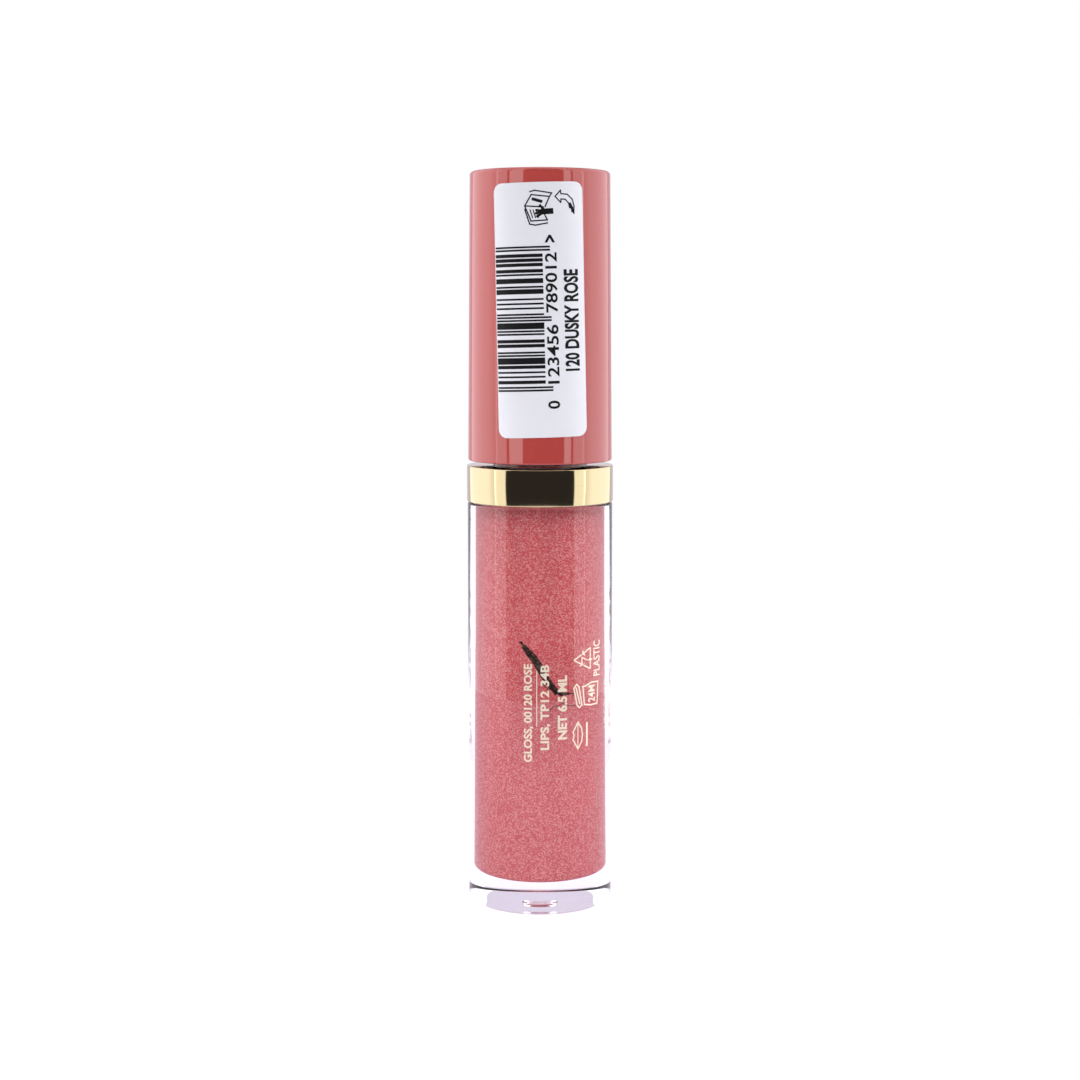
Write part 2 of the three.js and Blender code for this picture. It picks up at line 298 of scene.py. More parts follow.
def bar(bm, low_u, high_u, low_z, high_z):
    """Adds a thin flat bar that fills the space between those limits."""
    middle = Matrix.Translation(((low_u + high_u) / 2, 0, (low_z + high_z) / 2))
    size = Matrix.Diagonal((high_u - low_u, HAIR, high_z - low_z, 1))
    bmesh.ops.create_cube(bm, size=1, matrix=middle @ size)


def stroke(bm, start, end, width):
    """Adds a thin flat bar from one (u, z) place to another."""
    span = Vector(end) - Vector(start)
    middle = (Vector(start) + Vector(end)) / 2
    turn = Matrix.Rotation(-math.atan2(span.y, span.x), 4, "Y")
    size = Matrix.Diagonal((span.length + width, HAIR, width, 1))
    bmesh.ops.create_cube(bm, size=1, matrix=Matrix.Translation((middle.x, 0, middle.y)) @ turn @ size)


def strokes(bm, places, width, closed=False):
    """Adds bars from each place to the next."""
    ends = places[1:] + places[:1] if closed else places[1:]
    for start, end in zip(places, ends):
        stroke(bm, start, end, width)


def lettering(bm, words, left, right, low_z, high_z, bold=0.0):
    """Adds words that read upwards, from low_z to high_z, with their feet on the right."""
    curve = bpy.data.curves.new("lettering", "FONT")
    curve.body = words
    curve.extrude = 0.01
    curve.offset = bold
    curve.resolution_u = 3
    holder = bpy.data.objects.new("lettering", curve)
    mesh = bpy.data.meshes.new_from_object(holder)
    corners = [vert.co for vert in mesh.vertices]
    low = Vector(min(c[i] for c in corners) for i in range(3))
    high = Vector(max(c[i] for c in corners) for i in range(3))
    mesh.transform(Matrix.Translation(-low))
    wide = (high_z - low_z) / (high.x - low.x)
    tall = (right - left) / (high.y - low.y)
    mesh.transform(Matrix.Diagonal((wide, tall, HAIR / (high.z - low.z), 1)))
    reads_up = Matrix(((0, -1, 0, right), (0, 0, -1, HAIR / 2), (1, 0, 0, low_z), (0, 0, 0, 1)))
    mesh.transform(reads_up)
    bm.from_mesh(mesh)
    bpy.data.meshes.remove(mesh)
    bpy.data.objects.remove(holder)
    bpy.data.curves.remove(curve)


def slice_upright(bm, step):
    """Cuts flat work into upright strips, so that it can bend."""
    low = min(vert.co.x for vert in bm.verts)
    high = max(vert.co.x for vert in bm.verts)
    for i in range(1, math.ceil((high - low) / step)):
        geom = bm.verts[:] + bm.edges[:] + bm.faces[:]
        bmesh.ops.bisect_plane(
            bm, geom=geom, dist=1e-9, plane_co=(low + i * step, 0, 0), plane_no=(1, 0, 0)
        )


def wrap(bm, radius_at):
    """Bends flat work round the tube; Y stays the depth below the radius given for a height."""
    for vert in bm.verts:
        around, depth, height = vert.co
        radius = radius_at(height)
        angle = around / radius
        out = radius - depth
        vert.co = (out * math.sin(angle), -out * math.cos(angle), height)


# ---- Materials -----------------------------------------------------------------------------


def add(tree, kind, inputs=None, **settings):
    """Adds a node, and sets or links its inputs, which are named or counted."""
    node = tree.nodes.new(kind)
    for name, value in settings.items():
        setattr(node, name, value)
    for key, value in (inputs or {}).items():
        if isinstance(value, bpy.types.NodeSocket):
            tree.links.new(value, node.inputs[key])
        else:
            node.inputs[key].default_value = value
    return node


def blank_material(name):
    material = bpy.data.materials.new(name)
    material.use_nodes = True
    material.node_tree.nodes.clear()
    return material, material.node_tree


def lacquered_abs():
    """Moulded ABS under clear lacquer: a deep even red with sharp reflections, and a faint
    orange-peel ripple in them about a millimetre and a half across."""
    material, tree = blank_material("lacquered_abs")
    place = add(tree, "ShaderNodeTexCoord").outputs["Object"]
    ripple = add(tree, "ShaderNodeTexNoise", {"Vector": place, "Scale": 1 / (1.5 * MM), "Detail": 1.0})
    bump = add(tree, "ShaderNodeBump", {
        "Height": ripple.outputs["Fac"], "Strength": 0.04, "Distance": 0.02 * MM,
    })
    pigment = add(tree, "ShaderNodeTexNoise", {"Vector": place, "Scale": 1 / (0.5 * MM), "Detail": 3.0})
    red = linear(sizes("colours").cap)
    shade = add(tree, "ShaderNodeMix", {
        0: pigment.outputs["Fac"],
        6: red,
        7: tuple(c * 0.93 for c in red[:3]) + (1.0,),
    }, data_type="RGBA")
    surface = add(tree, "ShaderNodeBsdfPrincipled", {
        "Base Color": shade.outputs[2],
        "Roughness": 0.06,
        "IOR": 1.5,
        "Specular IOR Level": 0.85,
        "Normal": bump.outputs["Normal"],
    })
    add(tree, "ShaderNodeOutputMaterial", {"Surface": surface.outputs["BSDF"]})
    return material


def anodised_aluminium():
    """Drawn aluminium, polished and anodised pale gold: a bright metal with very fine lines
    running round it, which soften its reflections slightly."""
    material, tree = blank_material("anodised_aluminium")
    place = add(tree, "ShaderNodeTexCoord").outputs["Object"]
    lines = add(tree, "ShaderNodeMapping", {
        "Vector": place, "Scale": (1 / (8 * MM), 1 / (8 * MM), 1 / (0.12 * MM)),
    })
    grain = add(tree, "ShaderNodeTexNoise", {"Vector": lines.outputs["Vector"], "Scale": 1.0, "Detail": 2.0})
    bump = add(tree, "ShaderNodeBump", {
        "Height": grain.outputs["Fac"], "Strength": 0.05, "Distance": 0.01 * MM,
    })
    gold = linear(sizes("colours").gold)
    shade = add(tree, "ShaderNodeMix", {
        0: grain.outputs["Fac"],
        6: gold,
        7: tuple(c * 0.9 for c in gold[:3]) + (1.0,),
    }, data_type="RGBA")
    surface = add(tree, "ShaderNodeBsdfPrincipled", {
        "Base Color": shade.outputs[2],
        "Metallic": 1.0,
        "Roughness": 0.07,
        "Normal": bump.outputs["Normal"],
    })
    add(tree, "ShaderNodeOutputMaterial", {"Surface": surface.outputs["BSDF"]})
    return material


def moulded_acrylic():
    """Clear acrylic from a polished mould: no colour of its own, sharp reflections, and the
    long shallow ripple that thick mouldings have. Lamps reach what is inside it."""
    material, tree = blank_material("moulded_acrylic")
    place = add(tree, "ShaderNodeTexCoord").outputs["Object"]
    flow = add(tree, "ShaderNodeMapping", {
        "Vector": place, "Scale": (1 / (6 * MM), 1 / (6 * MM), 1 / (14 * MM)),
    })
    ripple = add(tree, "ShaderNodeTexNoise", {"Vector": flow.outputs["Vector"], "Scale": 1.0, "Detail": 1.0})
    bump = add(tree, "ShaderNodeBump", {
        "Height": ripple.outputs["Fac"], "Strength": 0.06, "Distance": 0.05 * MM,
    })
    surface = add(tree, "ShaderNodeBsdfPrincipled", {
        "Base Color": linear(sizes("colours").acrylic),
        "Roughness": 0.0,
        "IOR": 1.49,
        "Transmission Weight": 1.0,
        "Normal": bump.outputs["Normal"],
    })
    clear = add(tree, "ShaderNodeBsdfTransparent", {"Color": (0.97, 0.97, 0.97, 1.0)})
    rays = add(tree, "ShaderNodeLightPath")
    both = add(tree, "ShaderNodeMixShader", {
        0: rays.outputs["Is Shadow Ray"],
        1: surface.outputs["BSDF"],
        2: clear.outputs["BSDF"],
    })
    add(tree, "ShaderNodeOutputMaterial", {"Surface": both.outputs["Shader"]})
    return material


def pearl_gloss():
    """Tinted gel with pearl flakes: rose, with pale glints that point every way. The real
    flakes are about half a tenth of a millimetre and are drawn twice as wide, so that they show."""
    material, tree = blank_material("pearl_gloss")
    colours = sizes("colours")
    place = add(tree, "ShaderNodeTexCoord").outputs["Object"]
    flakes = add(tree, "ShaderNodeTexVoronoi", {"Vector": place, "Scale": 1 / (0.11 * MM)})
    parts = add(tree, "ShaderNodeSeparateColor", {"Color": flakes.outputs["Color"]})
    swirl = add(tree, "ShaderNodeTexNoise", {"Vector": place, "Scale": 1 / (5 * MM), "Detail": 3.0})
    body = add(tree, "ShaderNodeMix", {
        0: swirl.outputs["Fac"],
        6: linear(colours.gloss),
        7: linear(colours.gloss_deep),
    }, data_type="RGBA")
    flake = add(tree, "ShaderNodeMath", {0: parts.outputs["Red"], 1: 0.66}, operation="GREATER_THAN")
    tint = add(tree, "ShaderNodeMix", {
        0: flake.outputs["Value"],
        6: body.outputs[2],
        7: linear(colours.flake),
    }, data_type="RGBA")
    tilt = add(tree, "ShaderNodeVectorMath", {
        0: flakes.outputs["Color"], 1: (0.5, 0.5, 0.5),
    }, operation="SUBTRACT")
    lean = add(tree, "ShaderNodeVectorMath", {0: tilt.outputs["Vector"], 3: 0.4}, operation="SCALE")
    straight = add(tree, "ShaderNodeNewGeometry").outputs["Normal"]
    leaning = add(tree, "ShaderNodeVectorMath", {0: lean.outputs["Vector"], 1: straight}, operation="ADD")
    normal = add(tree, "ShaderNodeVectorMath", {0: leaning.outputs["Vector"]}, operation="NORMALIZE")
    shine = add(tree, "ShaderNodeMath", {0: flake.outputs["Value"], 1: 0.3}, operation="MULTIPLY")
    surface = add(tree, "ShaderNodeBsdfPrincipled", {
        "Base Color": tint.outputs[2],
        "Metallic": shine.outputs["Value"],
        "Roughness": 0.32,
        "Specular IOR Level": 0.1,
        "Normal": normal.outputs["Vector"],
    })
    add(tree, "ShaderNodeOutputMaterial", {"Surface": surface.outputs["BSDF"]})
    return material


def air_pocket_painted_dark():
    """A thin pocket of air against the chamber's wall, drawn as a sheet with painted shade: nearly
    black where it turns the light away, with dull olive and maroon streaks of painted reflection."""
    material, tree = blank_material("air_pocket_painted_dark")
    place = add(tree, "ShaderNodeTexCoord").outputs["Object"]
    streaks = add(tree, "ShaderNodeTexNoise", {"Vector": place, "Scale": 1 / (0.35 * MM), "Detail": 2.0})
    # painted shade and painted reflection: the near-black and olive stand in for the shadow and the mirrored
    # dark surroundings seen in the pocket
    shade = add(tree, "ShaderNodeValToRGB", {"Fac": streaks.outputs["Fac"]})
    shade.color_ramp.elements[0].position = 0.42
    shade.color_ramp.elements[0].color = linear("#240508")
    shade.color_ramp.elements[1].position = 0.66
    shade.color_ramp.elements[1].color = linear("#57492F")
    surface = add(tree, "ShaderNodeBsdfPrincipled", {
        "Base Color": shade.outputs["Color"],
        "Roughness": 0.2,
        "IOR": 1.49,
    })
    add(tree, "ShaderNodeOutputMaterial", {"Surface": surface.outputs["BSDF"]})
    return material


def moulded_plastic(name, hex_colour, roughness, grain, depth):
    """Moulded plastic in its natural white: soft-edged highlights over a fine mould grain, and
    light that goes in a little way."""
    material, tree = blank_material(name)
    place = add(tree, "ShaderNodeTexCoord").outputs["Object"]
    texture = add(tree, "ShaderNodeTexNoise", {"Vector": place, "Scale": 1 / grain, "Detail": 2.0})
    bump = add(tree, "ShaderNodeBump", {
        "Height": texture.outputs["Fac"], "Strength": 0.12, "Distance": 0.03 * MM,
    })
    white = linear(hex_colour)
    shade = add(tree, "ShaderNodeMix", {
        0: texture.outputs["Fac"],
        6: white,
        7: tuple(c * 0.95 for c in white[:3]) + (1.0,),
    }, data_type="RGBA")
    surface = add(tree, "ShaderNodeBsdfPrincipled", {
        "Base Color": shade.outputs[2],
        "Roughness": roughness,
        "IOR": 1.5,
        "Subsurface Weight": 0.25,
        "Subsurface Radius": (1.0, 0.95, 0.9),
        "Subsurface Scale": depth,
        "Normal": bump.outputs["Normal"],
    })
    add(tree, "ShaderNodeOutputMaterial", {"Surface": surface.outputs["BSDF"]})
    return material


def foamed_polyethylene():
    """Foamed polyethylene cut from sheet: matt white with closed cells about 0.15 mm wide."""
    material, tree = blank_material("foamed_polyethylene")
    place = add(tree, "ShaderNodeTexCoord").outputs["Object"]
    cells = add(tree, "ShaderNodeTexVoronoi", {"Vector": place, "Scale": 1 / (0.15 * MM)})
    bump = add(tree, "ShaderNodeBump", {
        "Height": cells.outputs["Distance"], "Strength": 0.6, "Distance": 0.05 * MM,
    })
    shade = add(tree, "ShaderNodeMix", {
        0: cells.outputs["Distance"],
        6: linear("#FBFBF8"),
        7: linear("#DDDCD6"),
    }, data_type="RGBA")
    surface = add(tree, "ShaderNodeBsdfPrincipled", {
        "Base Color": shade.outputs[2],
        "Roughness": 0.8,
        "Normal": bump.outputs["Normal"],
    })
    add(tree, "ShaderNodeOutputMaterial", {"Surface": surface.outputs["BSDF"]})
    return material


def smeared_polypropylene():
    """Moulded polypropylene rod: glossy white, tinted towards its lower end by a smear of the
    gloss that the wiper leaves on it."""
    material, tree = blank_material("smeared_polypropylene")
    place = add(tree, "ShaderNodeTexCoord").outputs["Object"]
    along = add(tree, "ShaderNodeSeparateXYZ", {"Vector": place}).outputs["Z"]
    runs = add(tree, "ShaderNodeMapping", {
        "Vector": place, "Scale": (1 / (0.8 * MM), 1 / (0.8 * MM), 1 / (9 * MM)),
    })
    uneven = add(tree, "ShaderNodeTexNoise", {"Vector": runs.outputs["Vector"], "Scale": 1.0, "Detail": 3.0})
    wet = add(tree, "ShaderNodeMapRange", {
        "Value": along,
        "From Min": top_of("gloss_fill"),
        "From Max": foot_of("applicator_rod"),
        "To Min": 0.0,
        "To Max": 0.75,
    })
    smear = add(tree, "ShaderNodeMath", {
        0: wet.outputs["Result"], 1: uneven.outputs["Fac"],
    }, operation="MULTIPLY")
    shade = add(tree, "ShaderNodeMix", {
        0: smear.outputs["Value"],
        6: linear(sizes("colours").plastic),
        7: linear(sizes("colours").gloss),
    }, data_type="RGBA")
    surface = add(tree, "ShaderNodeBsdfPrincipled", {
        "Base Color": shade.outputs[2],
        "Roughness": 0.2,
        "IOR": 1.49,
    })
    add(tree, "ShaderNodeOutputMaterial", {"Surface": surface.outputs["BSDF"]})
    return material


def soaked_flock():
    """Nylon flock soaked in gloss: matt pile with a velvety rim, stained rose in patches."""
    material, tree = blank_material("soaked_flock")
    place = add(tree, "ShaderNodeTexCoord").outputs["Object"]
    stain = add(tree, "ShaderNodeTexNoise", {"Vector": place, "Scale": 1 / (0.9 * MM), "Detail": 3.0})
    pile = add(tree, "ShaderNodeTexNoise", {"Vector": place, "Scale": 1 / (0.06 * MM), "Detail": 1.0})
    bump = add(tree, "ShaderNodeBump", {
        "Height": pile.outputs["Fac"], "Strength": 0.5, "Distance": 0.05 * MM,
    })
    shade = add(tree, "ShaderNodeMix", {
        0: stain.outputs["Fac"],
        6: linear("#DDA19E"),
        7: linear(sizes("colours").gloss),
    }, data_type="RGBA")
    surface = add(tree, "ShaderNodeBsdfPrincipled", {
        "Base Color": shade.outputs[2],
        "Roughness": 0.55,
        "Sheen Weight": 0.3,
        "Normal": bump.outputs["Normal"],
    })
    add(tree, "ShaderNodeOutputMaterial", {"Surface": surface.outputs["BSDF"]})
    return material


def label_film():
    """White polypropylene label film with a satin varnish: nearly flat, with a faint wave where
    it was rolled on."""
    material, tree = blank_material("label_film")
    place = add(tree, "ShaderNodeTexCoord").outputs["Object"]
    wave = add(tree, "ShaderNodeTexNoise", {"Vector": place, "Scale": 1 / (4 * MM), "Detail": 2.0})
    bump = add(tree, "ShaderNodeBump", {
        "Height": wave.outputs["Fac"], "Strength": 0.1, "Distance": 0.05 * MM,
    })
    white = linear(sizes("colours").label)
    shade = add(tree, "ShaderNodeMix", {
        0: wave.outputs["Fac"],
        6: white,
        7: tuple(c * 0.97 for c in white[:3]) + (1.0,),
    }, data_type="RGBA")
    surface = add(tree, "ShaderNodeBsdfPrincipled", {
        "Base Color": shade.outputs[2],
        "Roughness": 0.4,
        "Normal": bump.outputs["Normal"],
    })
    add(tree, "ShaderNodeOutputMaterial", {"Surface": surface.outputs["BSDF"]})
    return material


def printed_ink(name, hex_colour):
    """Flexographic ink: a flat dark film that lets a little of the label through in specks."""
    material, tree = blank_material(name)
    place = add(tree, "ShaderNodeTexCoord").outputs["Object"]
    specks = add(tree, "ShaderNodeTexNoise", {"Vector": place, "Scale": 1 / (0.12 * MM), "Detail": 2.0})
    thin = add(tree, "ShaderNodeMath", {0: specks.outputs["Fac"], 1: 0.015}, operation="MULTIPLY")
    shade = add(tree, "ShaderNodeMix", {
        0: thin.outputs["Value"],
        6: linear(hex_colour),
        7: linear(sizes("colours").label),
    }, data_type="RGBA")
    surface = add(tree, "ShaderNodeBsdfPrincipled", {
        "Base Color": shade.outputs[2],
        "Roughness": 0.45,
        "Specular IOR Level": 0.2,
    })
    add(tree, "ShaderNodeOutputMaterial", {"Surface": surface.outputs["BSDF"]})
    return material


def stamped_foil():
    """Hot-stamped pale gold foil: a thin bright metal film with a slight crinkle."""
    material, tree = blank_material("stamped_foil")
    place = add(tree, "ShaderNodeTexCoord").outputs["Object"]
    crinkle = add(tree, "ShaderNodeTexNoise", {"Vector": place, "Scale": 1 / (0.3 * MM), "Detail": 2.0})
    bump = add(tree, "ShaderNodeBump", {
        "Height": crinkle.outputs["Fac"], "Strength": 0.4, "Distance": 0.02 * MM,
    })
    gold = linear(sizes("colours").foil)
    shade = add(tree, "ShaderNodeMix", {
        0: crinkle.outputs["Fac"],
        6: gold,
        7: tuple(c * 0.85 for c in gold[:3]) + (1.0,),
    }, data_type="RGBA")
    surface = add(tree, "ShaderNodeBsdfPrincipled", {
        "Base Color": shade.outputs[2],
        "Metallic": 0.35,
        "Roughness": 0.35,
        "Normal": bump.outputs["Normal"],
    })
    add(tree, "ShaderNodeOutputMaterial", {"Surface": surface.outputs["BSDF"]})
    return material


# ---- The bottle and what stays on it -------------------------------------------------------


def neck_radius():
    """The neck's wall, worked inwards from the cap as in the frame."""
    cap = sizes("cap")
    root = radius_of("inner_cap") - cap.insert_wall
    return root - cap.thread_depth - cap.thread_clearance - cap.thread_depth


class LIPGLOSS_OT_bottle(bpy.types.Operator):
    """Model the clear bottle with its screw neck"""

    bl_idname = "lip_gloss.bottle"
    bl_label = "Bottle"

    def execute(self, context):
        bottle = sizes("bottle")
        cap = sizes("cap")
        outside = radius_of("bottle")
        shoulder = foot_of("collar") - COLLAR_SEAT
        boss = radius_of("collar") - bottle.collar_wall - FIT
        boss_top = top_of("collar") - bottle.collar_lip - FIT
        neck = neck_radius()
        rim = top_of("bottle")
        bore = neck - bottle.neck_wall
        chamber = outside - bottle.wall
        throat = top_of("collar") - bottle.collar_lip
        bm = turned([
            (0, bottle.gate_depth),
            (bottle.gate_radius, bottle.gate_depth),
            (bottle.gate_radius, 0),
            (outside, 0),
            (outside, shoulder),
            (boss, shoulder),
            (boss, boss_top),
            *steps_up(neck, boss_top, rim, ROW),
            (bore, rim),
            (bore, throat),
            (chamber, throat - bottle.funnel),
            (chamber, bottle.floor),
            (0, bottle.floor),
        ])
        thread = rim - cap.thread_drop - cap.thread_pitch * cap.thread_turns
        raise_thread(bm, neck, thread, cap, outward=1)
        round_rim(bm, outside, 0, bottle.foot_edge)
        round_rim(bm, outside, shoulder, bottle.shoulder_edge)
        round_rim(bm, bore, rim, 0.2 * MM)
        round_rim(bm, chamber, bottle.floor, bottle.floor_corner)
        round_rim(bm, bottle.gate_radius, 0, 0.15 * MM)
        finished(bm, "bottle_shell", moulded_acrylic(), "bottle", ["bottle"])
        return {"FINISHED"}


class LIPGLOSS_OT_gloss(bpy.types.Operator):
    """Fill the chamber with gloss, touching the wall"""

    bl_idname = "lip_gloss.gloss"
    bl_label = "Gloss"

    def execute(self, context):
        bottle = sizes("bottle")
        touch = SEAT  # into the wall, so that no air is seen between the two
        side = radius_of("bottle") - bottle.wall + touch
        floor = bottle.floor - touch
        channel = bottle.wiper_orifice
        throat = top_of("collar") - bottle.collar_lip
        bore = neck_radius() - bottle.neck_wall + touch
        fill = top_of("gloss_fill")
        hollow = foot_of("applicator_tip") - TIP_ROOM
        bm = turned([
            (0, floor),
            (side, floor),
            (side, throat - bottle.funnel),
            (bore, throat),
            (bore, fill),
            (channel, fill),
            (channel, hollow),
            (0, hollow),
        ])
        round_rim(bm, side, floor, bottle.floor_corner)
        finished(bm, "gloss", pearl_gloss(), "bottle", ["gloss_fill"])
        return {"FINISHED"}


class LIPGLOSS_OT_air_pocket(bpy.types.Operator):
    """Lay the leaf-shaped pocket of air, painted dark with shade and reflection, against the chamber's wall
    """

    bl_idname = "lip_gloss.air_pocket"
    bl_label = "Air pocket"

    def execute(self, context):
        # (round the chamber, height, half width), from the tip of the leaf to its stalk
        spine = (
            (-2.26, 36.95, 0.06), (-1.75, 36.2, 0.28), (-1.15, 35.4, 0.42), (-0.58, 34.6, 0.5),
            (-0.15, 33.8, 0.45), (0.3, 32.8, 0.38), (0.8, 31.9, 0.42), (1.3, 31.1, 0.42),
            (1.9, 30.3, 0.36), (2.6, 29.9, 0.24), (3.4, 29.85, 0.16), (4.1, 29.8, 0.05),
        )
        twigs = (
            ((1.0, 27.6), (1.6, 28.2), (2.2, 28.3), (2.8, 28.6), (3.6, 28.2), (4.8, 28.1)),
            ((0.3, 31.4), (0.7, 30.9), (1.1, 30.2)),
        )
        bm = bmesh.new()
        for (u, z, half), (next_u, next_z, next_half) in zip(spine, spine[1:]):
            width = (half + next_half) * MM
            stroke(bm, (u * MM, z * MM), (next_u * MM, next_z * MM), width)
        for twig in twigs:
            strokes(bm, [(u * MM, z * MM) for u, z in twig], 0.1 * MM)
        slice_upright(bm, 0.4 * MM)
        wall = radius_of("bottle") - sizes("bottle").wall
        wrap(bm, lambda z: wall + 2 * SEAT)
        # its material's dark colour is painted shade and painted reflection
        finished(bm, "air_pocket", air_pocket_painted_dark(), "bottle")
        return {"FINISHED"}


class LIPGLOSS_OT_collar(bpy.types.Operator):
    """Turn the gold collar"""

    bl_idname = "lip_gloss.collar"
    bl_label = "Collar"

    def execute(self, context):
        bottle = sizes("bottle")
        outside = radius_of("collar")
        inside = outside - bottle.collar_wall
        low = foot_of("collar")
        high = top_of("collar")
        hole = neck_radius() + FIT
        bm = turned([
            (inside, low), (outside, low), (outside, high), (hole, high),
            (hole, high - bottle.collar_lip), (inside, high - bottle.collar_lip),
        ], closed=True)
        round_rim(bm, outside, low, bottle.collar_edge, segments=3)
        round_rim(bm, outside, high, bottle.collar_edge, segments=3)
        finished(bm, "collar_ring", anodised_aluminium(), "bottle", ["collar"])
        return {"FINISHED"}


class LIPGLOSS_OT_wiper(bpy.types.Operator):
    """Turn the wiper plug"""

    bl_idname = "lip_gloss.wiper"
    bl_label = "Wiper"

    def execute(self, context):
        bottle = sizes("bottle")
        low = foot_of("wiper")
        high = top_of("wiper")
        flange = radius_of("wiper")
        side = neck_radius() - bottle.neck_wall - FIT
        inside = side - bottle.wiper_wall
        orifice = bottle.wiper_orifice
        bm = turned([
            (orifice, low), (orifice + bottle.wiper_edge, low), (side, low + bottle.wiper_cone),
            (side, high - bottle.wiper_flange), (flange, high - bottle.wiper_flange),
            (flange, high), (inside, high), (inside, low + bottle.wiper_cone),
        ], closed=True)
        round_rim(bm, flange, high, 0.15 * MM, segments=3)
        round_rim(bm, inside, high, 0.2 * MM, segments=3)
        material = moulded_plastic("natural_polyethylene", "#ECEAE4", 0.4, 0.4 * MM, 0.5 * MM)
        finished(bm, "wiper_plug", material, "bottle", ["wiper"])
        return {"FINISHED"}


class LIPGLOSS_OT_foil_print(bpy.types.Operator):
    """Stamp the foil print round the bottle"""

    bl_idname = "lip_gloss.foil_print"
    bl_label = "Foil print"

    def execute(self, context):
        bm = bmesh.new()
        # words, left, right, lower end, upper end, boldness
        lines = (
            ("GLOSS, 00120 ROSE", -2.22, -0.87, 21.17, 34.61, 0.032),
            ("LIPS, TP12 34B", 0.05, 1.45, 22.86, 34.51, 0.032),
            ("NET 6.5 ML", 2.38, 3.75, 24.2, 32.98, 0.04),
            ("PLASTIC", 8.1, 9.5, 32.36, 37.24, 0.012),
            ("LIP COLOUR", 10.6, 11.5, 24.9, 31.7, 0.0),
            ("ROSE TINT", 12.0, 12.9, 24.9, 31.7, 0.0),
        )
        for words, left, right, low, high, bold in lines:
            lettering(bm, words, left * MM, right * MM, low * MM, high * MM, bold)
        bar(bm, -0.5 * MM, -0.38 * MM, 26.04 * MM, 33.69 * MM)
        recycling_mark(bm)
        open_jar_mark(bm)
        lips_mark(bm)
        back_print(bm)
        slice_upright(bm, 0.3 * MM)
        skin = radius_of("bottle") + HAIR
        wrap(bm, lambda z: skin)
        finished(bm, "foil_print", stamped_foil(), "bottle")
        return {"FINISHED"}


FINE = 0.19 * MM  # width of the marks' lines


def recycling_mark(bm):
    """A triangle with a gap in each side, and a number in it."""
    corners = [Vector((4.75, 34.9)), Vector((7.5, 33.5)), Vector((7.5, 36.4))]
    for start, end in zip(corners, corners[1:] + corners[:1]):
        span = end - start
        stroke(bm, (start + span * 0.04) * MM, (start + span * 0.42) * MM, FINE)
        stroke(bm, (start + span * 0.58) * MM, (start + span * 0.96) * MM, FINE)
        barb = start + span * 0.42
        across = Vector((-span.y, span.x)).normalized() * 0.3
        stroke(bm, (barb + across) * MM, (barb + span * 0.07) * MM, FINE)
        stroke(bm, (barb - across) * MM, (barb + span * 0.07) * MM, FINE)
    lettering(bm, "7", 5.95 * MM, 7.0 * MM, 34.6 * MM, 35.3 * MM)


def open_jar_mark(bm):
    """A jar with its lid off and the months it keeps."""
    jar = [(6.2, 31.2), (6.45, 28.7), (7.6, 28.5), (8.9, 28.55), (9.1, 31.55), (7.7, 31.6), (6.6, 31.2)]
    lid = [(4.75, 31.1), (5.2, 31.6), (5.55, 31.2), (6.05, 28.7), (5.6, 28.35), (5.25, 28.75)]
    strokes(bm, [Vector(place) * MM for place in jar], FINE, closed=True)
    strokes(bm, [Vector(place) * MM for place in lid], FINE, closed=True)
    stroke(bm, Vector((5.1, 31.1)) * MM, Vector((5.7, 28.9)) * MM, FINE)
    lettering(bm, "24M", 7.1 * MM, 8.4 * MM, 28.9 * MM, 31.2 * MM, 0.015)


def lips_mark(bm):
    """A plain pair of lips, even about its middle, and a straight wand beside it."""
    lips, wand, middle = 5.4, 6.9, 24.55
    upper = [(0.0, 1.85), (-0.75, 0.55), (-0.6, 0.0), (-0.75, -0.55), (0.0, -1.85)]
    lower = [(0.6, -0.9), (0.75, 0.0), (0.6, 0.9)]
    strokes(bm, [Vector((lips + u, middle + z)) * MM for u, z in upper + lower], FINE, closed=True)
    stroke(bm, Vector((lips, middle + 1.7)) * MM, Vector((lips, middle - 1.7)) * MM, FINE * 0.7)
    stroke(bm, Vector((wand, middle + 1.5)) * MM, Vector((wand, middle - 1.5)) * MM, FINE * 1.6)


def back_print(bm):
    """The kind of gloss in tall letters up the back of the bottle."""
    half_round = math.pi * radius_of("bottle")
    tall = 2.6 * MM
    lettering(bm, "LIP GLOSS", half_round - tall / 2, half_round + tall / 2, 20 * MM, 42 * MM, 0.01)


# ---- The cap and what it carries -----------------------------------------------------------


def cap_skin(rise):
    """A function that gives the tapering cap's radius plus rise at a height."""
    low = foot_of("outer_cap")
    high = top_of("outer_cap")
    mouth = radius_of("outer_cap") + rise
    slope = sizes("cap").taper / (high - low)
    return lambda height: mouth - slope * (height - low)


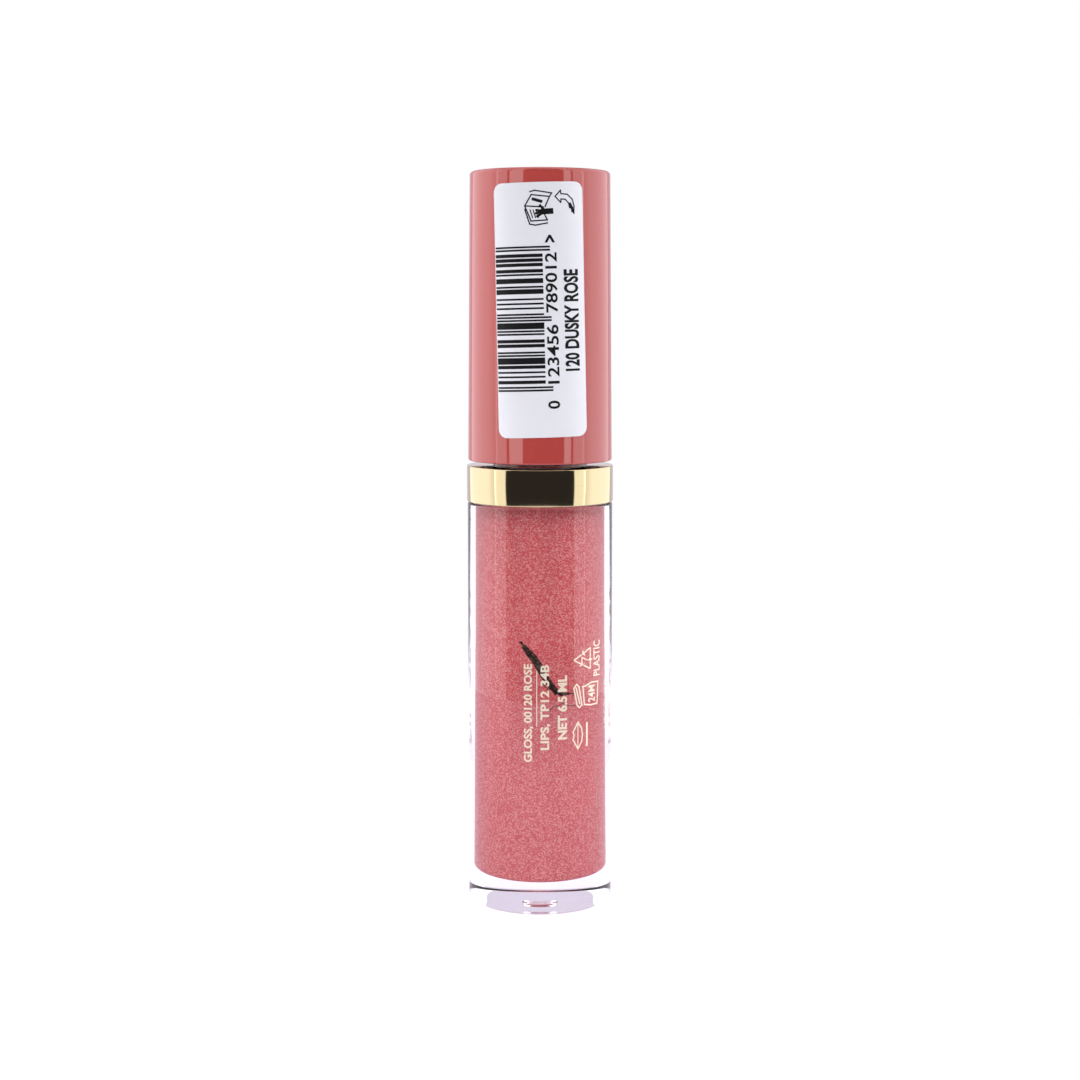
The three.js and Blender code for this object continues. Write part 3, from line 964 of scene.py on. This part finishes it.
class LIPGLOSS_OT_cap(bpy.types.Operator):
    """Turn the tall lacquered cap"""

    bl_idname = "lip_gloss.cap"
    bl_label = "Cap"

    def execute(self, context):
        cap = sizes("cap")
        low = foot_of("outer_cap")
        high = top_of("outer_cap")
        mouth = radius_of("outer_cap")
        top = mouth - cap.taper
        bore = top - cap.wall
        ceiling = high - cap.roof
        bm = turned([(0, ceiling), (bore, ceiling), (bore, low), (mouth, low), (top, high), (0, high)])
        round_rim(bm, top, high, cap.top_edge, segments=5)
        round_rim(bm, mouth, low, cap.mouth_edge, segments=3)
        self.add_ribs(bm, bore)
        finished(bm, "cap_shell", lacquered_abs(), "cap", ["outer_cap"])
        return {"FINISHED"}

    def add_ribs(self, bm, bore):
        """Four upright ribs above the inner cap, which stop it turning."""
        cap = sizes("cap")
        width, reach, height = 1.2 * MM, 0.45 * MM, 8.0 * MM
        root = cap.wall / 2
        foot = top_of("inner_cap") - cap.socket_depth + SEAT
        for i in range(4):
            turn = Matrix.Rotation(math.pi / 2 * (i + 0.5), 4, "Z")
            middle = Matrix.Translation((bore + (root - reach) / 2, 0, foot + height / 2))
            size = Matrix.Diagonal((reach + root, width, height, 1))
            bmesh.ops.create_cube(bm, size=1, matrix=turn @ middle @ size)


class LIPGLOSS_OT_inner_cap(bpy.types.Operator):
    """Turn the threaded inner cap with the rod's socket"""

    bl_idname = "lip_gloss.inner_cap"
    bl_label = "Inner cap"

    def execute(self, context):
        cap = sizes("cap")
        low = foot_of("inner_cap")
        high = top_of("inner_cap")
        outside = radius_of("inner_cap")
        root = outside - cap.insert_wall
        shelf = high - cap.socket_depth
        ceiling = shelf - cap.insert_ceiling
        grip = cap.rod_head_radius + FIT
        socket = grip + cap.socket_wall
        head = ceiling + cap.rod_head + FIT
        bm = turned([
            (0, head),
            (grip, head),
            (grip, ceiling),
            *reversed(steps_up(root, low, ceiling, ROW)),
            (outside, low),
            (outside, shelf),
            (socket, shelf),
            (socket, high),
            (0, high),
        ])
        rim = top_of("bottle")
        neck_thread = rim - cap.thread_drop - cap.thread_pitch * cap.thread_turns
        raise_thread(bm, root, neck_thread - cap.thread_pitch / 2, cap, outward=-1)
        round_rim(bm, outside, low, 0.15 * MM, segments=3)
        material = moulded_plastic(
            "moulded_polypropylene", sizes("colours").plastic, 0.35, 0.3 * MM, 0.4 * MM
        )
        finished(bm, "screw_insert", material, "cap", ["inner_cap"])
        return {"FINISHED"}


class LIPGLOSS_OT_seal(bpy.types.Operator):
    """Cut the foam seal that presses on the neck"""

    bl_idname = "lip_gloss.seal"
    bl_label = "Seal"

    def execute(self, context):
        low = foot_of("cap_liner")
        high = top_of("cap_liner")
        outside = radius_of("cap_liner")
        hole = neck_radius() - sizes("bottle").neck_wall - FIT - sizes("bottle").wiper_wall
        bm = turned([(hole, low), (outside, low), (outside, high), (hole, high)], closed=True)
        round_rim(bm, outside, low, 0.1 * MM, segments=2)
        finished(bm, "foam_seal", foamed_polyethylene(), "liner", ["cap_liner"])
        return {"FINISHED"}


class LIPGLOSS_OT_rod(bpy.types.Operator):
    """Turn the applicator's rod"""

    bl_idname = "lip_gloss.rod"
    bl_label = "Rod"

    def execute(self, context):
        cap = sizes("cap")
        tip_top = top_of("applicator_tip")
        high = top_of("applicator_rod")
        head_foot = high - cap.rod_head
        spigot = 1.2 * MM
        bm = turned([
            (0, foot_of("applicator_rod")),
            (spigot, foot_of("applicator_rod")),
            (spigot, tip_top + FIT),
            (cap.rod_radius, tip_top + FIT),
            (cap.rod_radius, head_foot - 1.5 * MM),
            (cap.rod_head_radius, head_foot),
            (cap.rod_head_radius, high),
            (0, high),
        ])
        round_rim(bm, cap.rod_radius, tip_top + FIT, 0.15 * MM, segments=3)
        finished(bm, "rod", smeared_polypropylene(), "applicator", ["applicator_rod"])
        return {"FINISHED"}


class LIPGLOSS_OT_tip(bpy.types.Operator):
    """Model the slanted flocked tip with its pile"""

    bl_idname = "lip_gloss.tip"
    bl_label = "Tip"

    def execute(self, context):
        cap = sizes("cap")
        low = foot_of("applicator_tip")
        high = top_of("applicator_tip")
        radius = cap.tip_radius - cap.fibre / 2
        start = low + cap.fibre / 2
        bm = turned([(0, start), (radius, start), (radius, high - 0.1 * MM), (0, high - 0.1 * MM)])
        round_rim(bm, radius, start, radius * 0.98, segments=8)
        self.cut_slant(bm, Vector((0, -radius, start + 6.5 * MM)), math.radians(16))
        self.add_pile(bm)
        finished(bm, "flocked_tip", soaked_flock(), "applicator", ["applicator_tip"])
        return {"FINISHED"}

    def cut_slant(self, bm, top, lean):
        """Cuts off the front below top along a face that leans in, and closes and rounds it."""
        normal = Vector((0, -math.cos(lean), -math.sin(lean)))
        geom = bm.verts[:] + bm.edges[:] + bm.faces[:]
        result = bmesh.ops.bisect_plane(bm, geom=geom, plane_co=top, plane_no=normal, clear_outer=True)
        rim = [item for item in result["geom_cut"] if isinstance(item, bmesh.types.BMEdge)]
        bmesh.ops.edgenet_fill(bm, edges=rim)
        bmesh.ops.recalc_face_normals(bm, faces=bm.faces)
        bmesh.ops.bevel(
            bm, geom=rim, offset=0.15 * MM, segments=2, profile=0.5, affect="EDGES", material=-1
        )

    def add_pile(self, bm):
        """Stands short fibres all over the tip's surface."""
        cap = sizes("cap")
        chance = random.Random(7)
        cloth = bm.copy()
        bmesh.ops.triangulate(cloth, faces=cloth.faces)
        faces = cloth.faces[:]
        areas = [face.calc_area() for face in faces]
        for face in chance.choices(faces, weights=areas, k=cap.fibres):
            a, b, c = (vert.co for vert in face.verts)
            s, t = sorted((chance.random(), chance.random()))
            root = a * s + b * (t - s) + c * (1 - t)
            jitter = Vector((chance.uniform(-1, 1), chance.uniform(-1, 1), chance.uniform(-1, 1)))
            direction = (face.normal + jitter * 0.5).normalized()
            stand = Vector((0, 0, 1)).rotation_difference(direction).to_matrix().to_4x4()
            middle = Matrix.Translation(root + direction * cap.fibre * 0.35)
            bmesh.ops.create_cone(
                bm, cap_ends=True, segments=3, radius1=0.03 * MM, radius2=0.008 * MM,
                depth=cap.fibre, matrix=middle @ stand,
            )
        cloth.free()


# ---- The label -----------------------------------------------------------------------------

LEAF_TRIM = 0.08 * MM  # the leaf is narrower than the base by this, so that it clears it when peeled
MODULE = 0.2011 * MM  # width of the bar code's thinnest bar
CODE_START = -10.65 * MM  # the bar code's lower end, from the label's middle
BARS_LEFT = -6.18 * MM  # the bars' left ends, just inside the leaf's edge
BAR_REACH = 0.45 * MM  # the bars' right ends
GUARD_REACH = 1.45 * MM  # the same of the longer guard bars


def label_place():
    """The label's middle, as (round the cap, height)."""
    return Vector((sizes("label").shift, middle_of("label_leaf").z))


def lay_on_label(bm, rise):
    """Tilts flat work drawn about (0, 0) and wraps it on the label, rise above the cap."""
    label = sizes("label")
    middle = label_place()
    bmesh.ops.rotate(
        bm, verts=bm.verts, cent=(0, 0, 0), matrix=Matrix.Rotation(-label.tilt, 3, "Y")
    )
    bmesh.ops.translate(bm, verts=bm.verts, vec=(middle.x, 0, middle.y))
    wrap(bm, cap_skin(rise))


def label_sheet(rise, name, body, stands_for, trim=0.0):
    """One ply of the label, with its sides trimmed by that much in all."""
    label = sizes("label")
    bm = bmesh.new()
    bmesh.ops.create_grid(bm, x_segments=1, y_segments=1, size=0.5)
    bmesh.ops.scale(bm, verts=bm.verts, vec=(label.width - trim, label.height, 1))
    bmesh.ops.bevel(
        bm, geom=bm.verts[:], offset=label.corner, segments=6, profile=0.5,
        affect="VERTICES", material=-1,
    )
    bmesh.ops.rotate(bm, verts=bm.verts, matrix=Matrix.Rotation(math.pi / 2, 3, "X"))
    bmesh.ops.recalc_face_normals(bm, faces=bm.faces)
    front = bmesh.ops.extrude_face_region(bm, geom=bm.faces[:])
    moved = [item for item in front["geom"] if isinstance(item, bmesh.types.BMVert)]
    bmesh.ops.translate(bm, verts=moved, vec=(0, -label.ply, 0))
    slice_upright(bm, 0.4 * MM)
    bmesh.ops.recalc_face_normals(bm, faces=bm.faces)
    lay_on_label(bm, rise)
    return finished(bm, name, label_film(), body, [stands_for])


class LIPGLOSS_OT_label(bpy.types.Operator):
    """Stick on the label's base and its peel-open leaf"""

    bl_idname = "lip_gloss.label"
    bl_label = "Label"

    def execute(self, context):
        label = sizes("label")
        label_sheet(SEAT, "label_base_ply", "cap", "label_base")
        label_sheet(SEAT * 2 + label.ply, "label_leaf_ply", "leaf", "label_leaf", LEAF_TRIM)
        return {"FINISHED"}


def bar_code(digits):
    """The digits' 95 dark (1) and light (0) modules."""
    left = "".join(LEFT_DIGITS[int(d)] for d in digits[1:7])
    right = "".join(LEFT_DIGITS[int(d)] for d in digits[7:])
    opposite = right.translate(str.maketrans("01", "10"))
    return "101" + left + "01010" + opposite + "101"


class LIPGLOSS_OT_label_print(bpy.types.Operator):
    """Print the bar code, the words and the signs on the label"""

    bl_idname = "lip_gloss.label_print"
    bl_label = "Label print"

    def execute(self, context):
        label = sizes("label")
        bm = bmesh.new()
        self.print_bars(bm)
        # words, left, right, lower end, upper end, boldness
        lines = (
            (label.digits[0], 0.7, 2.35, -13.05, -11.95, 0.02),
            (label.digits[1:7], 0.75, 2.35, -9.7, -1.9, 0.015),
            (label.digits[7:], 0.75, 2.35, -0.3, 7.6, 0.015),
            (">", 0.75, 2.15, 8.9, 9.9, 0.03),
            (label.shade, 3.2, 5.35, -8.1, 5.35, 0.035),
        )
        for words, left, right, low, high, bold in lines:
            lettering(bm, words, left * MM, right * MM, low * MM, high * MM, bold)
        self.print_leaflet_sign(bm)
        self.print_peel_arrow(bm)
        slice_upright(bm, 0.3 * MM)
        lay_on_label(bm, SEAT * 2 + label.ply * 2 + HAIR)
        finished(bm, "label_print", printed_ink("label_ink", sizes("colours").ink), "leaf")
        self.print_under_leaf()
        return {"FINISHED"}

    def print_bars(self, bm):
        """The bars lie across the label and are read upwards."""
        modules = bar_code(sizes("label").digits)
        guards = {*range(3), *range(45, 50), *range(92, 95)}
        for i, dark in enumerate(modules):
            if dark == "1":
                reach = GUARD_REACH if i in guards else BAR_REACH
                overlap = 0.1 * MODULE
                start = CODE_START + i * MODULE
                bar(bm, BARS_LEFT, reach, start - overlap, start + MODULE + overlap)

    def print_leaflet_sign(self, bm):
        """An open leaflet with lines of text, held by a hand."""
        width = 0.17 * MM
        outlines = [
            [(-1.75, 13.75), (-0.85, 15.2), (1.55, 14.9), (0.95, 13.6)],
            [(-1.75, 13.75), (-0.95, 11.75), (1.2, 11.85), (0.5, 13.3)],
            [(-1.0, 15.6), (-0.4, 15.75), (1.85, 15.35), (1.55, 14.9)],
            [(-1.75, 13.3), (-1.15, 11.35), (-0.4, 11.2), (1.2, 11.45)],
        ]
        for outline in outlines:
            strokes(bm, [Vector(place) * MM for place in outline], width)
        stroke(bm, Vector((-1.75, 13.75)) * MM, Vector((0.7, 13.55)) * MM, width)
        stroke(bm, Vector((-0.6, 14.6)) * MM, Vector((0.4, 14.3)) * MM, 0.4 * MM)
        for i in range(3):
            left = -1.05 + 0.4 * i
            stroke(bm, Vector((left, 13.2)) * MM, Vector((left + 0.3, 12.2)) * MM, width * 0.8)
        fingers = [(-0.1, 12.35), (-0.25, 12.75), (-0.2, 13.15), (0.3, 13.75)]
        for tip in fingers:
            stroke(bm, Vector(tip) * MM, Vector((0.95, 13.0)) * MM, 0.3 * MM)
        stroke(bm, Vector((0.75, 12.95)) * MM, Vector((1.65, 13.0)) * MM, 0.75 * MM)

    def print_peel_arrow(self, bm):
        """A curved arrow with a dark tail, which shows which way the leaf peels."""
        width = 0.16 * MM
        outer = [
            (2.3, 14.9), (3.05, 15.7), (3.1, 15.25), (4.0, 15.15), (4.7, 14.5), (4.95, 13.6), (4.9, 12.7),
        ]
        inner = [(2.3, 14.9), (3.05, 14.1), (3.1, 14.55), (3.7, 14.5), (4.15, 14.0), (4.3, 13.4)]
        strokes(bm, [Vector(place) * MM for place in outer], width)
        strokes(bm, [Vector(place) * MM for place in inner], width)
        tail = [(4.35, 13.85), (4.6, 13.4), (4.7, 13.0), (4.9, 12.7)]
        for start, end, thick in zip(tail, tail[1:], (0.42, 0.36, 0.2)):
            stroke(bm, Vector(start) * MM, Vector(end) * MM, thick * MM)

    def print_under_leaf(self):
        """Rows of fine print on the base ply, seen when the leaf is peeled."""
        label = sizes("label")
        chance = random.Random(3)
        bm = bmesh.new()
        row = label.height / 2 - 2.4 * MM
        while row > -label.height / 2 + 2.4 * MM:
            left = -label.width / 2 + 1.4 * MM
            while left < label.width / 2 - 2.2 * MM:
                word = chance.uniform(0.5, 1.5) * MM
                right = min(left + word, label.width / 2 - 1.2 * MM)
                bar(bm, left, right, row, row + 0.35 * MM)
                left = right + 0.3 * MM
            row -= 0.95 * MM
        lay_on_label(bm, SEAT + label.ply + HAIR / 2)
        grey = printed_ink("base_ink", "#77777E")
        finished(bm, "label_base_print", grey, "cap")


# ---- The stage -----------------------------------------------------------------------------

CAMERA_DISTANCE = 0.2645
CAMERA_HEIGHT = 0.08192
CAMERA_DIP = math.radians(5.23)
CAMERA_LENS = 63.98
CAMERA_SHIFT = -0.05
FLOOR_RADIUS = 0.16
FLOOR_DROP = 0.02 * MM  # under the bottle's foot
LAMP_DISTANCE = 0.5
LAMP_TALL = 1.1
LAMP_AIM = Vector((0, 0, 0.05))
STRIP_RADIANCE = 1.9


class LIPGLOSS_OT_stage(bpy.types.Operator):
    """Set out the floor, the soft lights, the white surround and the camera"""

    bl_idname = "lip_gloss.stage"
    bl_label = "Stage"

    def execute(self, context):
        self.set_floor()
        self.set_lights()
        self.set_surround()
        self.set_camera()
        return {"FINISHED"}

    def set_floor(self):
        bm = bmesh.new()
        bmesh.ops.create_circle(bm, cap_ends=True, segments=96, radius=FLOOR_RADIUS)
        bmesh.ops.translate(bm, verts=bm.verts, vec=(0, 0, -FLOOR_DROP))
        mesh = bpy.data.meshes.new("floor")
        bm.to_mesh(mesh)
        bm.free()
        material, tree = blank_material("white_card")
        place = add(tree, "ShaderNodeTexCoord").outputs["Object"]
        fibres = add(tree, "ShaderNodeTexNoise", {"Vector": place, "Scale": 1 / (2 * MM)})
        shade = add(tree, "ShaderNodeMix", {
            0: fibres.outputs["Fac"], 6: linear("#EDECF3"), 7: linear("#E9E8F0"),
        }, data_type="RGBA")
        rays = add(tree, "ShaderNodeLightPath")
        glow = add(tree, "ShaderNodeMath", {
            0: rays.outputs["Is Camera Ray"], 1: 0.4, 2: 0.2,
        }, operation="MULTIPLY_ADD")
        card = add(tree, "ShaderNodeBsdfPrincipled", {
            "Base Color": shade.outputs[2],
            "Roughness": 0.9,
            "Specular IOR Level": 0.1,
            "Emission Color": (1.0, 1.0, 1.0, 1.0),
            "Emission Strength": glow.outputs["Value"],
        })
        add(tree, "ShaderNodeOutputMaterial", {"Surface": card.outputs["BSDF"]})
        mesh.materials.append(material)
        floor = bpy.data.objects.new("floor", mesh)
        bpy.context.scene.collection.objects.link(floor)

    def set_lights(self):
        for side in (-1, 1):
            self.softbox(f"front_softbox_{side}", 65 * side, LAMP_DISTANCE, 0.18, LAMP_TALL, 1.55)
            self.softbox(f"side_softbox_{side}", 108 * side, LAMP_DISTANCE, 0.7, LAMP_TALL, 1.0)
        self.softbox("overhead", 0, 0.0, 0.7, 0.7, 1.0, height=0.8)
        fill = self.softbox("front_fill", 0, 0.9, 0.9, 0.9, 1.5, height=0.35)
        fill.visible_glossy = False
        strips = (
            self.softbox("left_strip", -39, LAMP_DISTANCE, 0.205, LAMP_TALL, STRIP_RADIANCE),
            self.softbox("right_strip", 45, LAMP_DISTANCE, 0.105, LAMP_TALL, STRIP_RADIANCE),
        )
        glossy_cap = bpy.data.collections.new("lit_by_strips")
        glossy_cap.objects.link(bpy.data.objects["cap_shell"])
        for strip in strips:
            strip.light_linking.receiver_collection = glossy_cap

    def softbox(self, name, azimuth, distance, width, tall, radiance, height=0.08):
        """A rectangular lamp at an azimuth from the front, facing the tube."""
        lamp = bpy.data.lights.new(name, "AREA")
        lamp.shape = "RECTANGLE"
        lamp.size = width
        lamp.size_y = tall
        lamp.energy = radiance * math.pi * width * tall
        holder = bpy.data.objects.new(name, lamp)
        bpy.context.scene.collection.objects.link(holder)
        turn = math.radians(azimuth)
        place = Vector((distance * math.sin(turn), -distance * math.cos(turn), height))
        holder.location = place
        aim = LAMP_AIM - place
        holder.rotation_euler = aim.to_track_quat("-Z", "Y").to_euler()
        holder.visible_camera = False
        return holder

    def set_surround(self):
        """White behind the tube and for the camera; the studio's dark end behind the camera."""
        world = bpy.data.worlds.new("studio")
        world.use_nodes = True
        tree = world.node_tree
        tree.nodes.clear()
        direction = add(tree, "ShaderNodeTexCoord").outputs["Generated"]
        across = add(tree, "ShaderNodeSeparateXYZ", {"Vector": direction})
        depth = add(tree, "ShaderNodeMapRange", {
            "Value": across.outputs["Y"], "From Min": -0.35, "From Max": 0.0, "To Min": 0.04, "To Max": 0.9,
        })
        rays = add(tree, "ShaderNodeLightPath")
        level = add(tree, "ShaderNodeMath", {
            0: depth.outputs["Result"], 1: rays.outputs["Is Camera Ray"],
        }, operation="MAXIMUM")
        tint = add(tree, "ShaderNodeMix", {
            0: rays.outputs["Is Camera Ray"], 6: linear("#F3EDFA"), 7: (1.0, 1.0, 1.0, 1.0),
        }, data_type="RGBA")
        white = add(tree, "ShaderNodeBackground", {
            "Color": tint.outputs[2], "Strength": level.outputs["Value"],
        })
        add(tree, "ShaderNodeOutputWorld", {"Surface": white.outputs["Background"]})
        bpy.context.scene.world = world

    def set_camera(self):
        camera = bpy.data.cameras.new("camera")
        camera.sensor_width = 36
        camera.lens = CAMERA_LENS
        camera.shift_y = CAMERA_SHIFT
        camera.dof.use_dof = False
        holder = bpy.data.objects.new("camera", camera)
        bpy.context.scene.collection.objects.link(holder)
        holder.location = (0, -CAMERA_DISTANCE, CAMERA_HEIGHT)
        holder.rotation_euler = Euler((math.pi / 2 - CAMERA_DIP, 0, 0))
        bpy.context.scene.camera = holder
        bpy.context.scene.view_settings.view_transform = "Standard"


# ---- The add-on ----------------------------------------------------------------------------

GROUPS = {
    "bottle": BottleSizes,
    "cap": CapSizes,
    "label": LabelSizes,
    "colours": TubeColours,
}

OPERATORS = (
    LIPGLOSS_OT_bottle,
    LIPGLOSS_OT_gloss,
    LIPGLOSS_OT_air_pocket,
    LIPGLOSS_OT_collar,
    LIPGLOSS_OT_wiper,
    LIPGLOSS_OT_foil_print,
    LIPGLOSS_OT_cap,
    LIPGLOSS_OT_inner_cap,
    LIPGLOSS_OT_seal,
    LIPGLOSS_OT_rod,
    LIPGLOSS_OT_tip,
    LIPGLOSS_OT_label,
    LIPGLOSS_OT_label_print,
    LIPGLOSS_OT_stage,
)


class LIPGLOSS_PT_tube(bpy.types.Panel):
    """The tube's pieces and its sizes"""

    bl_idname = "LIPGLOSS_PT_tube"
    bl_label = "Lip Gloss Tube"
    bl_space_type = "VIEW_3D"
    bl_region_type = "UI"
    bl_category = "Lip Gloss"

    def draw(self, context):
        for name, group in GROUPS.items():
            box = self.layout.box()
            box.label(text=name.capitalize())
            for key in group.__annotations__:
                box.prop(sizes(name), key)
        for operator in OPERATORS:
            self.layout.operator(operator.bl_idname)


def register():
    for item in (*GROUPS.values(), *OPERATORS, LIPGLOSS_PT_tube):
        bpy.utils.register_class(item)
    for name, group in GROUPS.items():
        setattr(bpy.types.Scene, "lip_gloss_" + name, bpy.props.PointerProperty(type=group))


def unregister():
    for name in GROUPS:
        delattr(bpy.types.Scene, "lip_gloss_" + name)
    for item in reversed((*GROUPS.values(), *OPERATORS, LIPGLOSS_PT_tube)):
        bpy.utils.unregister_class(item)


def main():
    register()
    for operator in OPERATORS:
        group, name = operator.bl_idname.split(".")
        getattr(getattr(bpy.ops, group), name)()


if __name__ == "__main__":
    main()
